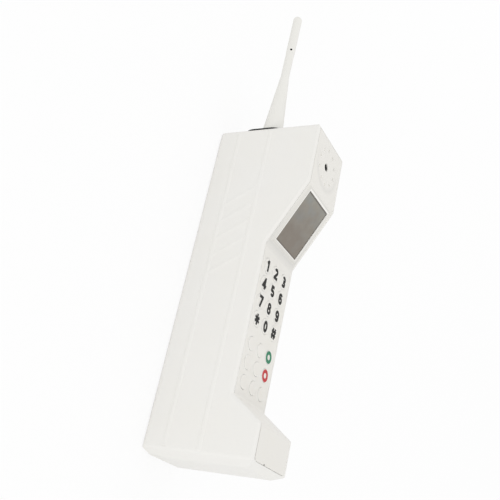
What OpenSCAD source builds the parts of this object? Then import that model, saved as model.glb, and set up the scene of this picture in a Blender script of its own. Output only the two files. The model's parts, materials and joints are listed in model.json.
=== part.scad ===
// Brick cell phone lying on its back: X across, +Y toward the antenna, +Z out of the keypad.

/* [Body] */
// Width of the body
body_w = 48; // [44:0.5:54]
// Depth of the body at the keypad, from the back
keypad_depth = 55.5; // [54:0.5:62]
// Length of the chin's front face, foot bevel included
chin_len = 26; // [24:0.5:32]
// Length over which the chin steps forward
chin_run = 16; // [13:0.5:22]
// How far the chin stands out from the keypad
chin_out = 22.3; // [18:0.1:26]
// Length of the display slope, measured along the body
slope_run = 45.2; // [44:0.2:54]
// How far the head stands out from the keypad
head_out = 23; // [19:0.5:27]
// Length of the head's front face
head_len = 45.6; // [45:0.2:54]
// Radius of the long back edges
back_edge_r = 3; // [1:0.5:4]
// Radius of the corner between the top and the back
top_back_r = 6; // [3:0.5:8]
// Radius of the corner between the top and the head's face
top_front_r = 3.5; // [1.5:0.5:5]
// Radius of the two top corners, seen from the front
top_side_r = 3; // [0.5:0.5:4]
// Radius where two stretches of the front meet
front_bend_r = 2.5; // [1:0.5:3]
// Radius of the side walls' front edges
crest_r = 1.7; // [1:0.1:1.8]

/* [Foot bevel] */
// Height of the bevel round the foot
bevel_len = 4; // [3:0.2:6]
// Width of the foot bevel at the sides
bevel_side = 7.6; // [5:0.2:9]
// Width of the foot bevel at the front
bevel_front = 6.1; // [4:0.2:8]
// Width of the foot bevel at the back
bevel_back = 3.8; // [3:0.2:5]
// Radius of the edges round the foot
foot_r = 3; // [0.5:0.1:3.2]

/* [Walls] */
// Wall of the housing
wall = 2.4; // [2:0.1:2.8]
// Thickness of the front cover
cover_t = 2.4; // [2:0.1:2.8]
// How far the front cover lies below the edges of the side walls
cover_recess = 0.1; // [0.05:0.05:0.6]
// Gap of the seam round the front cover
seam_gap = 0.25; // [0.15:0.05:0.4]
// Width and depth of the groove in the side walls beside the seam
seam_groove = 0.35; // [0.1:0.05:0.4]
// Width of the ledge that carries the front cover
ledge_w = 1.5; // [1:0.1:1.6]
// Thickness of the ledges inside the housing
ledge_t = 2; // [1.5:0.1:2.5]

/* [Side panel] */
// Height of the back rib above the back
rib_back = 16.5; // [14:0.5:20]
// Height of the front rib above the back
rib_front = 41; // [36:0.5:46]
// Width of the two long ribs
rib_w = 3.4; // [2.4:0.1:4]
// How far the two long ribs stand out
rib_h = 0.4; // [0.3:0.05:0.6]
// Number of slanted ribs
slash_count = 5; // [3:1:6]
// Distance between slanted ribs along the body
slash_pitch = 12.9; // [11:0.1:15]
// Rise of a slanted rib from the back rib to the front rib
slash_rise = 15; // [8:0.5:18]
// Distance from a slanted rib's front end to the front rib
slash_gap = 1.6; // [0.5:0.1:3]
// How far the slanted ribs stand out
slash_h = 0.25; // [0.15:0.05:0.25]
// Distance from the top end to the first slanted rib's back end
slash_drop = 62.6; // [56:0.2:70]

/* [Keys] */
// Diameter of a digit key
digit_key_d = 10.4; // [9:0.1:10.6]
// Diameter of a function key
function_key_d = 9; // [8:0.1:10.4]
// Distance between key columns
key_pitch_x = 12.9; // [12.5:0.1:13.4]
// Distance between key rows
key_pitch_y = 12.5; // [12.2:0.1:13.5]
// Distance between the last digit row and the first function row
key_block_gap = 16.6; // [16:0.2:20]
// Distance from the last key row to the foot of the chin's step
key_margin_low = 10; // [9:0.2:12]
// Distance from the first key row to the foot of the display slope
key_margin_high = 12.9; // [12:0.1:16]
// Height of a key above the front cover
key_proud = 0.2; // [0.2:0.1:1.2]
// Travel of a key
key_travel = 0.9; // [0.6:0.1:1.2]
// Gap round a key in its hole
key_gap = 0.2; // [0.15:0.05:0.35]
// Overhang of a key's flange under the cover
key_flange = 0.5; // [0.4:0.1:0.6]
// Thickness of a key's flange
key_flange_t = 1; // [0.8:0.1:1.2]
// Chamfer of a key's upper edge
key_edge = 0.1; // [0.1:0.05:0.4]
// Clearance between a key and what lies above or below it
key_play = 0.2; // [0.15:0.05:0.3]

/* [Display] */
// Width of the display window
display_w = 32.8; // [28:0.2:33.4]
// Length of the display window along the slope
display_len = 40.2; // [34:0.2:41]
// Distance of the window's middle above the middle of the slope
display_shift = 1.1; // [0:0.1:1.4]
// Width of the bezel round the window
bezel_w = 2.8; // [2.2:0.1:3]
// Height of the bezel above the slope
bezel_proud = 0.8; // [0.6:0.1:2]
// How far the bezel's outer sides lean in
bezel_lean = 1.2; // [0.4:0.1:1.4]
// Wall of the bezel's neck in the cover
bezel_neck = 1; // [0.8:0.1:1.2]
// Thickness of the display window
window_t = 1.6; // [1.2:0.1:2]
// Thickness of the display module
module_t = 6; // [4:0.5:7]

/* [Earpiece] */
// Diameter of the earpiece dish
dish_d = 33.8; // [28:0.2:35]
// Depth of the earpiece dish
dish_depth = 1; // [0.8:0.1:3]
// Distance from the top end to the middle of the dish
ear_drop = 21.4; // [21:0.1:24]
// Diameter of the hole in the middle of the dish
ear_hole_d = 5.5; // [3:0.1:7]
// Number of dimples round the hole
dimple_count = 10; // [6:1:12]
// Diameter of the dimples
dimple_d = 2.2; // [1.4:0.1:2.6]
// Depth of the dimples' floors below the head's face
dimple_depth = 1.1; // [0.9:0.1:1.4]
// Diameter of the ring of dimples
dimple_ring_d = 25.6; // [18:0.2:26]
// Diameter of the earpiece driver
driver_d = 31; // [27:0.5:31]
// Thickness of the earpiece driver
driver_t = 7; // [5:0.5:9]

/* [Antenna] */
// Distance from the left side to the antenna's axis
antenna_inset = 11.2; // [11.2:0.1:14]
// Height of the antenna's axis above the back
antenna_z = 36; // [34:0.1:40]
// Length of the antenna above the top of the body
antenna_len = 110; // [95:1:130]
// Diameter of the boot at its base
boot_base_d = 15.1; // [14:0.1:18]
// Length of the boot
boot_len = 49; // [40:1:56]
// Diameter of the antenna rod
whip_d = 6.3; // [5.8:0.1:8]
// Diameter of the antenna tip
tip_d = 6.7; // [6.4:0.1:9]
// Length of the antenna tip
tip_len = 35; // [24:1:38]
// Diameter of the pin that holds the tip
pin_d = 1.8; // [1:0.1:2]
// Distance from the tip's lower end to the pin
pin_rise = 1.7; // [1.5:0.1:4]
// Diameter of the antenna's threaded stud
stud_d = 5; // [4:0.1:6]
// Depth of the stud below the top of the body
stud_len = 9; // [7:0.5:11]
// Clearance of the stud in its bush
stud_gap = 0.08; // [0.04:0.01:0.1]
// Thickness of the pad under the antenna
gasket_t = 1; // [0.8:0.1:3]
// Length of the pad under the antenna
gasket_len = 33; // [28:0.5:36]
// Width of the pad under the antenna
gasket_w = 19.2; // [18:0.1:19.2]
// Distance from the antenna's axis to the front end of its pad
gasket_front = 13; // [9.6:0.1:15]

/* [Battery] */
// Length of the battery door
door_len = 150; // [145:1:160]
// Width of the battery door
door_w = 34; // [30:0.5:35]
// Height of the door's foot on the end of the phone
door_foot = 10; // [8:0.5:14]
// Overhang of the tongues along the door
tongue_w = 1.8; // [1.2:0.1:2]
// Thickness of the tongues along the door
tongue_t = 1.2; // [1:0.1:1.5]
// Thickness of the lips outside the tongues
lip_t = 1.6; // [1.4:0.1:2]
// Clearance of the door in its guides
door_gap = 0.25; // [0.2:0.05:0.35]
// Distance from the back plane to the door's face
door_relief = 0.3; // [0.2:0.05:0.5]
// Distance from the foot to the battery
battery_start = 15.3; // [15:0.1:18]
// Length of the battery
battery_len = 127.5; // [110:0.5:130]
// Width of the battery
battery_w = 38.4; // [34:0.2:38.6]
// Thickness of the battery
battery_t = 14.5; // [12:0.1:16]

/* [Inside] */
// Clearance between pieces that are laid in place
lay_gap = 0.25; // [0.2:0.05:0.4]
// Thickness of the chassis plate
chassis_t = 1.5; // [1:0.1:2]
// Height of the posts between the chassis plate and the main board
post_h = 5; // [4:0.5:6]
// Thickness of the circuit boards
board_t = 1.6; // [1.2:0.1:2]
// Thickness of the key mat
mat_t = 1.2; // [1:0.1:1.6]
// Outside diameter of the screw towers
tower_d = 7; // [6:0.1:7]
// Distance of the screw towers from the inside of the side walls
tower_inset = 5.4; // [5.2:0.1:5.8]
// Diameter of the case screws
case_screw_d = 2.6; // [2:0.1:3]
// Diameter of the case screws' heads
case_head_d = 4.8; // [4:0.1:5]
// Diameter of the board screws
board_screw_d = 2; // [1.6:0.1:2.2]
// Height of the shield can
can_h = 6; // [4:0.5:8]
// Distance of the microphone from the middle
mic_x = -7.7; // [-9:0.1:-6]
// Diameter of the microphone
mic_d = 9.7; // [6:0.1:10]

/* [Hidden] */
$fn = 64;

DIGIT_KEYS = ["key_1", "key_2", "key_3", "key_4", "key_5", "key_6", "key_7", "key_8", "key_9",
    "key_star", "key_0", "key_hash"];
FUNCTION_KEYS = [for (i = [1:9]) str("key_f", i)];
KEYS = concat(DIGIT_KEYS, FUNCTION_KEYS);

shell_colour = [0.87, 0.86, 0.83];
black_rubber = [0.08, 0.08, 0.08];
metal_colour = [0.72, 0.73, 0.75];
brass_colour = [0.78, 0.63, 0.32];
board_colour = [0.12, 0.36, 0.22];

// Stations along the body, from the foot up
columns = 3;
digit_rows = 4;
function_rows = 3;
keypad_start = chin_len + chin_run;
key_rows_len = (function_rows + digit_rows - 2) * key_pitch_y + key_block_gap;
keypad_len = key_margin_low + key_rows_len + key_margin_high;
slope_start = keypad_start + keypad_len;
head_start = slope_start + slope_run;
body_len = head_start + head_len;
overall_len = body_len + antenna_len;

// Depths from the back
head_depth = keypad_depth + head_out;
chin_depth = keypad_depth + chin_out;
most_depth = max(head_depth, chin_depth);
half_w = body_w / 2;
inner_w = half_w - wall;
cover_under = cover_recess + cover_t;
slope_angle = atan2(head_out, slope_run);
slope_middle = [(slope_start + head_start) / 2, (keypad_depth + head_depth) / 2];
past = 1;

// Battery door and bay
tongue_low = lip_t + door_gap;
tongue_high = tongue_low + tongue_t;
rail_low = tongue_high + door_gap;
rail_t = 1.4;
rail_high = rail_low + rail_t;
door_end_wall = 3;
battery_low = rail_high + lay_gap;
battery_high = battery_low + battery_t;
battery_end = battery_start + battery_len;
chassis_low = battery_high + lay_gap;
chassis_high = chassis_low + chassis_t;
chassis_start = battery_start;
chassis_end_gap = 2;
chassis_end = head_start - chassis_end_gap;
contact_t = 0.8;
contact_block_t = 5.2;

// Boards
board_low = chassis_high + post_h;
board_high = board_low + board_t;
board_low_gap = 5;
board_high_gap = 2;
board_side_gap = 3.6;
board_start = chassis_start + board_low_gap;
board_end = chassis_end - board_high_gap;
board_half_w = inner_w - board_side_gap;
post_d = 5;
post_inset = 3;
post_end_gap = 8;
post_x = board_half_w - post_inset;
post_y = [board_start + post_end_gap, board_end - post_end_gap];
can_wall = 0.6;
can_end_gap = 16;
plug_w = 24;
plug_len = 5;
plug_h = 4;
ribbon_w = 20;
ribbon_t = 0.8;

// Keypad stack, from the cover down
key_z = keypad_depth - cover_recess;
flange_high = cover_t + key_play;
flange_low = flange_high + key_flange_t;
mat_high = key_z - flange_low - key_travel - key_play;
mat_low = mat_high - mat_t;
keypad_board_low = mat_low - board_t;
flange_over = 2 * (key_gap + key_flange);
dome_well_d = 6.4;
dome_d = 4.6;
key_roof = 1.8;
pad_half_w = inner_w - ledge_w - lay_gap;
pad_end_gap = 2.4;
pad_start = keypad_start + pad_end_gap;
pad_end = slope_start - pad_end_gap;
first_row = slope_start - key_margin_high;
last_row = keypad_start + key_margin_low;
// Posts in the middle of four keys each
pad_post_d = 4;
pad_post_x = key_pitch_x / 2;
pad_post_y = [last_row + key_pitch_y / 2,
    last_row + (function_rows - 1) * key_pitch_y + key_block_gap / 2,
    first_row - key_pitch_y / 2];

// Display, measured out of the slope
neck_past = 0.2;
neck_low = -cover_t - neck_past;
neck_lip = 1.2;
window_low = neck_low + neck_lip;
display_gasket_t = 1;
opening_w = display_w + 2 * bezel_neck;
opening_len = display_len + 2 * bezel_neck;
module_low = neck_low - display_gasket_t - module_t;
module_end = slope_middle[0] + (display_shift + opening_len / 2) * cos(slope_angle)
    + (cover_recess - module_low) * sin(slope_angle);

// Case screws, beside the battery and beyond the display module
tower_high = 38;
tower_x = inner_w - tower_inset;
battery_clear = 1.8;
module_clear = 0.6;
low_tower_y = battery_start - tower_d / 2 - battery_clear;
high_tower_y = module_end + tower_d / 2 + module_clear;
screw_head_h = 2;
screw_bite = 8;
screw_sink = 0.6;
screw_gap = 0.3;
pad_screw_bite = 3;
tower_web = 2.4;

// Earpiece, measured out of the head
ear_y = body_len - ear_drop;
dish_floor = 1.6;
cup_low = -max(dish_depth + dish_floor, cover_t + neck_past);
cup_rim = 1.5;
cup_d = dish_d + 2 * cup_rim;
ear_skin = 0.7;
dimple_turn = 6.5;
ear_room_d = 12;
screen_t = 0.4;
ear_gasket_t = 1.2;
ear_gasket_w = 2;

// Microphone, measured out of the chin
mic_t = 5;
mic_boot_wall = 1.5;
mic_boot_t = 7;
mic_boot_d = mic_d + 2 * mic_boot_wall;
mic_clear = 0.5;
mic_reach = (mic_boot_d + tower_d) / 2 + mic_clear;
mic_y = low_tower_y + sqrt(max(0, pow(mic_reach, 2) - pow(tower_x + mic_x, 2)));
mic_port_w = 2.6;
mic_port_h = 1;

// Antenna
antenna_x = -half_w + antenna_inset;
antenna_seat = body_len + gasket_t;
boot_gap = 0.3;
boot_start = antenna_seat + boot_gap;
boot_end = boot_start + boot_len;
boot_wall = 0.3;
boot_floor = 2;
boot_top_d = whip_d + 2 * boot_wall;
tip_start = body_len + antenna_len - tip_len;
bush_wall = 2;
bush_d = stud_d + 2 * bush_wall;
bush_flange_w = 1.5;
bush_flange_d = bush_d + 2 * bush_flange_w;
bush_flange_t = 2;
stud_head_w = 2.2;
stud_head_d = stud_d + 2 * stud_head_w;
stud_head_t = 3;
stud_head_low = boot_start + boot_floor;
spigot_step = 1.3;
spigot_d = whip_d - 2 * spigot_step;
spigot_len = 6;
// Turn of the pin from the front of the phone toward its left side
pin_turn = -58.8;
pin_sink = 0.15;
lead_r = 1.4;
lead_side = 2.3;
lead_bend_gap = 6;
lead_z = antenna_z - bush_flange_d / 2 + lead_r;
lead_x = antenna_x + lead_side;
lug_t = 0.6;
lug_gap = 0.75;

// Direction and inset of outlines that run clockwise
function unit(v) = v / norm(v);
function left_of(a, b) = let (d = unit(b - a)) [-d[1], d[0]];
function shifted(p, n0, n1, d) = p - d * (n0 + n1) / (1 + n0 * n1);
function inset_chain(p, d) = let (last = len(p) - 1) [for (i = [0:last])
    let (n0 = left_of(p[max(i - 1, 0)], p[max(i, 1)]))
    let (n1 = left_of(p[min(i, last - 1)], p[min(i + 1, last)]))
    shifted(p[i], n0, n1, d)];
function inset_loop(p, d) = let (n = len(p)) [for (i = [0:n - 1])
    shifted(p[i], left_of(p[(i + n - 1) % n], p[i]), left_of(p[i], p[(i + 1) % n]), d)];
function reversed(p) = [for (i = [len(p) - 1:-1:0]) p[i]];

// Points of an arc that rounds the corner p between a and b
function corner_arc(a, p, b, r, steps = 6) =
    let (u = unit(a - p), v = unit(b - p))
    let (half = acos(u * v) / 2)
    let (centre = p + unit(u + v) * r / sin(half))
    let (from = p + u * r / tan(half) - centre, to = p + v * r / tan(half) - centre)
    let (start = atan2(from[1], from[0]))
    let (turn = (atan2(to[1], to[0]) - start + 540) % 360 - 180)
    [for (i = [0:steps]) centre + r * [cos(start + turn * i / steps), sin(start + turn * i / steps)]];
function rounded(p, radii) = let (n = len(p)) [for (i = [0:n - 1])
    each radii[i] > 0 ? corner_arc(p[(i + n - 1) % n], p[i], p[(i + 1) % n], radii[i]) : [p[i]]];

// Side outline of the body as [along, depth], clockwise from the back
side_outline = [[bevel_len, 0], [0, bevel_back], [0, chin_depth - bevel_front], [bevel_len, chin_depth],
    [chin_len, chin_depth], [keypad_start, keypad_depth], [slope_start, keypad_depth],
    [head_start, head_depth], [body_len, head_depth], [body_len, 0]];
side_radii = [foot_r, foot_r, foot_r, foot_r, front_bend_r, front_bend_r, front_bend_r, front_bend_r,
    top_front_r, top_back_r];
// Front outline of the body as [across, along], clockwise
front_outline = [[half_w, bevel_len], [half_w - bevel_side, 0], [bevel_side - half_w, 0],
    [-half_w, bevel_len], [-half_w, body_len], [half_w, body_len]];
front_radii = [foot_r, foot_r, foot_r, foot_r, top_side_r, top_side_r];

// Front line of the body between the foot bevel and the top wall
front_line = [[bevel_len + seam_gap, chin_depth], [chin_len, chin_depth], [keypad_start, keypad_depth],
    [slope_start, keypad_depth], [head_start, head_depth], [body_len - wall - seam_gap, head_depth]];
function front_strip(high, low) = concat(inset_chain(front_line, high),
    reversed(inset_chain(front_line, low)));

// The same line between the ends of the seam
front_bends = [[chin_len, chin_depth], [keypad_start, keypad_depth], [slope_start, keypad_depth],
    [head_start, head_depth]];
seam_line = concat([[bevel_len, chin_depth]], front_bends, [[body_len - wall, head_depth]]);

// Extrudes an [along, depth] outline across the body
module across(width) {
    rotate([90, 0, 90])
        linear_extrude(width, center = true)
            children();
}

// A block given by its lowest and highest corners
module block(low, high) {
    translate(low)
        cube(high - low);
}

// A round bar along the body
module bar_along(d, low, high) {
    translate([0, low, 0])
        rotate([-90, 0, 0])
            cylinder(d = d, h = high - low);
}

// Both sides of the body
module both_sides() {
    for (side = [0, 1])
        mirror([side, 0, 0])
            children();
}

// Puts the foot's lowest corner where the whole phone's box is centred
module placed() {
    translate([0, -overall_len / 2, 0])
        children();
}

module on_slope() {
    translate([0, slope_middle[0], slope_middle[1]])
        rotate([slope_angle, 0, 0])
            translate([0, display_shift, -cover_recess])
                children();
}

module on_head() {
    translate([0, ear_y, head_depth - cover_recess])
        children();
}

module on_chin() {
    translate([mic_x, mic_y, chin_depth - cover_under])
        children();
}

module on_antenna() {
    translate([antenna_x, 0, antenna_z])
        children();
}

// A block on the ground with its four sides leaning in
module leaning_block(width, length, height, lean) {
    function profile(w) = [[-w / 2, 0], [lean - w / 2, height], [w / 2 - lean, height], [w / 2, 0]];
    intersection() {
        rotate([90, 0, 0])
            linear_extrude(length, center = true)
                polygon(profile(width));
        across(width)
            polygon(profile(length));
    }
}

// A flat frame centred on the slope
module slope_frame(outer_w, outer_len, hole_w, hole_len, low, high) {
    translate([0, 0, low])
        linear_extrude(high - low)
            difference() {
                square([outer_w, outer_len], center = true);
                square([hole_w, hole_len], center = true);
            }
}

// Posts of the front cover that hold the keypad board
module at_pad_posts() {
    both_sides()
        for (y = pad_post_y)
            translate([pad_post_x, y, 0])
                children();
}

// Posts of the chassis plate that hold the main board
module at_board_posts() {
    both_sides()
        for (y = post_y)
            translate([post_x, y, 0])
                children();
}

function key_row(i) = floor(i / columns);
function key_d(i) = key_row(i) < digit_rows ? digit_key_d : function_key_d;
function key_x(i) = (i % columns - (columns - 1) / 2) * key_pitch_x;
function key_y(i) = last_row + (digit_rows + function_rows - 1 - key_row(i)) * key_pitch_y
    + (key_row(i) < digit_rows ? key_block_gap - key_pitch_y : 0);

module at_key(i) {
    translate([key_x(i), key_y(i), key_z])
        children();
}

// Outside form of the closed body
module envelope() {
    intersection() {
        across(body_w)
            polygon(rounded(side_outline, side_radii));
        linear_extrude(most_depth + past)
            polygon(rounded(front_outline, front_radii));
        translate([0, body_len + past, 0])
            rotate([90, 0, 0])
                linear_extrude(body_len + 2 * past)
                    polygon(rounded([[-half_w, 0], [-half_w, most_depth + past],
                        [half_w, most_depth + past], [half_w, 0]], [back_edge_r, 0, 0, back_edge_r]));
    }
}

// A long bar under one stretch of the front, with both of its front edges rounded
module crest_bar(from, to) {
    step = to - from;
    reach = 2 * body_len;
    flats = 8;
    run_on = 4;
    arc = corner_arc([half_w, -body_w], [half_w, 0], [-body_w, 0], crest_r, flats);
    side_end = arc[0] + run_on * (arc[0] - arc[1]);
    top_end = arc[flats] + run_on * (arc[flats] - arc[flats - 1]);
    right = concat([[half_w + past, -reach], [half_w + past, side_end[1]], side_end],
        [for (i = [1:flats - 1]) arc[i]], [top_end, [top_end[0], past]]);
    left = [for (p = reversed(right)) [-p[0], p[1]]];
    translate([0, from[0], from[1]])
        rotate([atan2(step[1], step[0]), 0, 0])
            translate([0, reach, 0])
                rotate([90, 0, 0])
                    linear_extrude(2 * reach)
                        polygon(concat(right, left));
}

// The body's outside with the side walls' front edges rounded
module crested_envelope() {
    intersection() {
        envelope();
        union() {
            intersection() {
                crest_bar(seam_line[0], seam_line[1]);
                crest_bar(seam_line[1], seam_line[2]);
            }
            crest_bar(seam_line[2], seam_line[3]);
            intersection() {
                crest_bar(seam_line[3], seam_line[4]);
                crest_bar(seam_line[4], seam_line[5]);
            }
        }
    }
}

// Groove that lets the seam beside the cover show
module seam_step() {
    across(2 * (inner_w + seam_groove))
        polygon(concat(inset_chain(seam_line, -past), reversed(inset_chain(seam_line, seam_groove))));
}

// Hollow of the housing, open to the front
module housing_hollow() {
    inside = inset_loop(side_outline, wall);
    foot_step = (bevel_len - inside[2][0]) * bevel_front / bevel_len;
    intersection() {
        across(body_w)
            polygon([inside[0], inside[1], inside[2], [bevel_len, inside[2][1] + foot_step],
                [bevel_len, most_depth + past], [body_len - wall, most_depth + past],
                [body_len - wall, wall]]);
        linear_extrude(most_depth + 2 * past)
            polygon(inset_loop(front_outline, wall));
    }
}

// Way of the battery door through the back and the foot
module door_way() {
    reach = door_w / 2 + door_gap;
    tongue_reach = reach + tongue_w;
    block([-reach, -past, -past], [reach, door_len + door_gap, rail_low]);
    block([-tongue_reach, -past, lip_t], [tongue_reach, door_len + door_gap, rail_low]);
    block([-reach, -past, -past], [reach, door_end_wall + door_gap, door_foot + door_gap]);
}

// Low ribs of the side panels: two along the body and the slanted ones between them
module side_ribs() {
    root = 0.8;
    rib_r = (pow(rib_w / 2, 2) + pow(rib_h, 2)) / (2 * rib_h);
    panel_w = rib_front - rib_back;
    slash_len = norm([slash_rise, panel_w]) - slash_gap;
    both_sides()
        intersection() {
            block([half_w - root, bevel_len + foot_r / 2, 0],
                [half_w + past, body_len - top_side_r, most_depth]);
            union() {
                for (z = [rib_back, rib_front])
                    translate([half_w + rib_h - rib_r, 0, z])
                        bar_along(2 * rib_r, 0, body_len);
                for (i = [0:slash_count - 1])
                    translate([half_w + slash_h - rib_r, body_len - slash_drop - i * slash_pitch, rib_back])
                        rotate([-atan2(slash_rise, panel_w), 0, 0])
                            cylinder(r = rib_r, h = slash_len);
            }
        }
}

// Room in the cover's ledges for the key flanges and the earpiece cup
module ledge_reliefs() {
    for (i = [0:len(KEYS) - 1])
        at_key(i)
            translate([0, 0, -cover_t - 2 * ledge_t])
                cylinder(d = key_d(i) + flange_over + 2 * lay_gap, h = 2 * ledge_t);
    on_head()
        translate([0, 0, -cover_t - 2 * ledge_t])
            cylinder(d = cup_d + 2 * lay_gap, h = 2 * ledge_t);
}

// Ledges for the cover and the chassis, guides of the door, and screw towers
module housing_ribs() {
    both_sides() {
        difference() {
            translate([inner_w + (past - ledge_w) / 2, 0, 0])
                across(ledge_w + past)
                    polygon(front_strip(cover_under, cover_under + ledge_t));
            ledge_reliefs();
        }
        block([inner_w - ledge_w, chassis_start, chassis_low - ledge_t],
            [inner_w + past, chassis_end, chassis_low]);
        block([door_w / 2 + door_gap, bevel_len, rail_low], [inner_w + past, door_len, rail_high]);
        for (tower = [[low_tower_y, rail_low], [high_tower_y, 0]])
            translate([tower_x, tower[0], tower[1]]) {
                cylinder(d = tower_d, h = tower_high - tower[1]);
                block([0, -tower_web / 2, 0],
                    [inner_w + past - tower_x, tower_web / 2, tower_high - tower[1]]);
            }
    }
}

// Holes of the case screws, with room for their heads
module case_screw_holes() {
    both_sides()
        for (tower = [[low_tower_y, rail_low], [high_tower_y, 0]])
            translate([tower_x, tower[0], tower[1]]) {
                translate([0, 0, -past])
                    cylinder(d = case_screw_d + screw_gap, h = tower_high + 2 * past);
                translate([0, 0, -past])
                    cylinder(d = case_head_d + screw_gap, h = screw_sink + screw_head_h + past);
            }
}

module main_housing() {
    color(shell_colour)
        placed()
            difference() {
                union() {
                    difference() {
                        crested_envelope();
                        housing_hollow();
                    }
                    intersection() {
                        envelope();
                        housing_ribs();
                    }
                    side_ribs();
                }
                door_way();
                seam_step();
                case_screw_holes();
                on_antenna()
                    bar_along(bush_d, body_len - 2 * wall, body_len + past);
            }
}

// Bent plate of the cover, with the cup behind the earpiece and the bosses for screws
module cover_body() {
    end_r = 0.5;
    intersection() {
        across(body_w)
            polygon(rounded(front_strip(cover_recess, cover_under),
                [end_r, front_bend_r, front_bend_r, front_bend_r, front_bend_r, end_r, 0, 0, 0, 0, 0, 0]));
        linear_extrude(most_depth + past)
            polygon(inset_loop(front_outline, wall + seam_gap));
    }
    on_head()
        translate([0, 0, cup_low])
            cylinder(d = cup_d, h = -cup_low - cover_t / 2);
    both_sides() {
        for (boss = [[low_tower_y, chin_depth], [high_tower_y, head_depth]])
            translate([tower_x, boss[0], tower_high])
                cylinder(d = tower_d, h = boss[1] - cover_under + cover_t / 2 - tower_high);
        for (y = pad_post_y)
            translate([pad_post_x, y, mat_low])
                cylinder(d = pad_post_d, h = key_z - cover_t / 2 - mat_low);
    }
}

module front_cover() {
    dish_r = (pow(dish_d / 2, 2) + pow(dish_depth, 2)) / (2 * dish_depth);
    color(shell_colour)
        placed()
            difference() {
                cover_body();
                for (i = [0:len(KEYS) - 1])
                    at_key(i)
                        translate([0, 0, -cover_t - past])
                            cylinder(d = key_d(i) + 2 * key_gap, h = cover_t + 2 * past);
                on_slope()
                    translate([0, 0, -cover_t - past])
                        linear_extrude(cover_t + 2 * past)
                            square([opening_w + 2 * lay_gap, opening_len + 2 * lay_gap], center = true);
                on_head() {
                    translate([0, 0, dish_r - dish_depth])
                        sphere(r = dish_r, $fn = 128);
                    translate([0, 0, cup_low - past])
                        cylinder(d = ear_hole_d, h = -cup_low + past);
                    translate([0, 0, cup_low - past])
                        cylinder(d = ear_room_d, h = past - cup_low - dish_depth - ear_skin);
                    for (i = [0:dimple_count - 1])
                        rotate([0, 0, dimple_turn + 360 * i / dimple_count])
                            translate([0, dimple_ring_d / 2, -dimple_depth])
                                cylinder(d = dimple_d, h = dimple_depth);
                }
                both_sides() {
                    for (y = [low_tower_y, high_tower_y])
                        translate([tower_x, y, tower_high - past])
                            cylinder(d = case_screw_d, h = screw_bite + 2 * past);
                    for (y = pad_post_y)
                        translate([pad_post_x, y, mat_low - past])
                            cylinder(d = board_screw_d, h = pad_screw_bite + past);
                }
                translate([mic_x, bevel_len, chin_depth])
                    block([-mic_port_w / 2, 0, -cover_under - past], [mic_port_w / 2, mic_port_h, past]);
            }
}

module display_bezel() {
    color(shell_colour)
        placed()
            on_slope() {
                difference() {
                    leaning_block(display_w + 2 * bezel_w, display_len + 2 * bezel_w, bezel_proud,
                        bezel_lean);
                    translate([0, 0, -past])
                        linear_extrude(bezel_proud + 2 * past)
                            square([display_w, display_len], center = true);
                }
                slope_frame(opening_w, opening_len, display_w, display_len, window_low, 0);
                slope_frame(opening_w, opening_len, display_w - 2 * neck_lip, display_len - 2 * neck_lip,
                    neck_low, window_low);
            }
}

module display_window() {
    color([0.35, 0.33, 0.31])
        placed()
            on_slope()
                translate([0, 0, window_low])
                    linear_extrude(window_t)
                        square([display_w - lay_gap, display_len - lay_gap], center = true);
}

module display_gasket() {
    color(black_rubber)
        placed()
            on_slope()
                slope_frame(opening_w, opening_len, display_w - 2 * neck_lip, display_len - 2 * neck_lip,
                    neck_low - display_gasket_t, neck_low);
}

module display_module() {
    color([0.25, 0.27, 0.26])
        placed()
            on_slope()
                translate([0, 0, module_low])
                    linear_extrude(module_t)
                        square([opening_w, opening_len], center = true);
}

module earpiece_screen() {
    color(black_rubber)
        placed()
            on_head()
                translate([0, 0, cup_low - screen_t])
                    cylinder(d = driver_d, h = screen_t);
}

module earpiece_gasket() {
    color(black_rubber)
        placed()
            on_head()
                translate([0, 0, cup_low - screen_t - ear_gasket_t])
                    difference() {
                        cylinder(d = driver_d, h = ear_gasket_t);
                        translate([0, 0, -past])
                            cylinder(d = driver_d - 2 * ear_gasket_w, h = ear_gasket_t + 2 * past);
                    }
}

// Basket, and the smaller magnet behind it
module earpiece_driver() {
    basket_t = driver_t * 0.5;
    color(metal_colour)
        placed()
            on_head()
                translate([0, 0, cup_low - screen_t - ear_gasket_t]) {
                    translate([0, 0, -basket_t])
                        cylinder(d = driver_d, h = basket_t);
                    translate([0, 0, -driver_t])
                        cylinder(d = driver_d * 0.6, h = driver_t);
                }
}

module mic_boot() {
    color(black_rubber)
        placed()
            on_chin()
                difference() {
                    translate([0, 0, -mic_boot_t])
                        cylinder(d = mic_boot_d, h = mic_boot_t);
                    translate([0, 0, -mic_boot_t - past])
                        cylinder(d = mic_d, h = mic_boot_t - mic_boot_wall + past);
                    translate([0, 0, -mic_boot_t])
                        cylinder(d = mic_d / 4, h = mic_boot_t + past);
                }
}

module microphone() {
    color(metal_colour)
        placed()
            on_chin()
                translate([0, 0, -mic_boot_wall - mic_t])
                    cylinder(d = mic_d, h = mic_t);
}

// A round key with a flange under the cover and a well over its dome
module key(i) {
    key_r = key_d(i) / 2;
    flange_r = key_r + flange_over / 2;
    ceiling = key_proud - key_roof;
    color(shell_colour)
        placed()
            at_key(i)
                rotate_extrude()
                    polygon([[0, key_proud], [key_r - key_edge, key_proud], [key_r, key_proud - key_edge],
                        [key_r, -flange_high], [flange_r, -flange_high], [flange_r, -flange_low],
                        [dome_well_d / 2, -flange_low], [dome_well_d / 2, ceiling], [0, ceiling]]);
}

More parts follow.
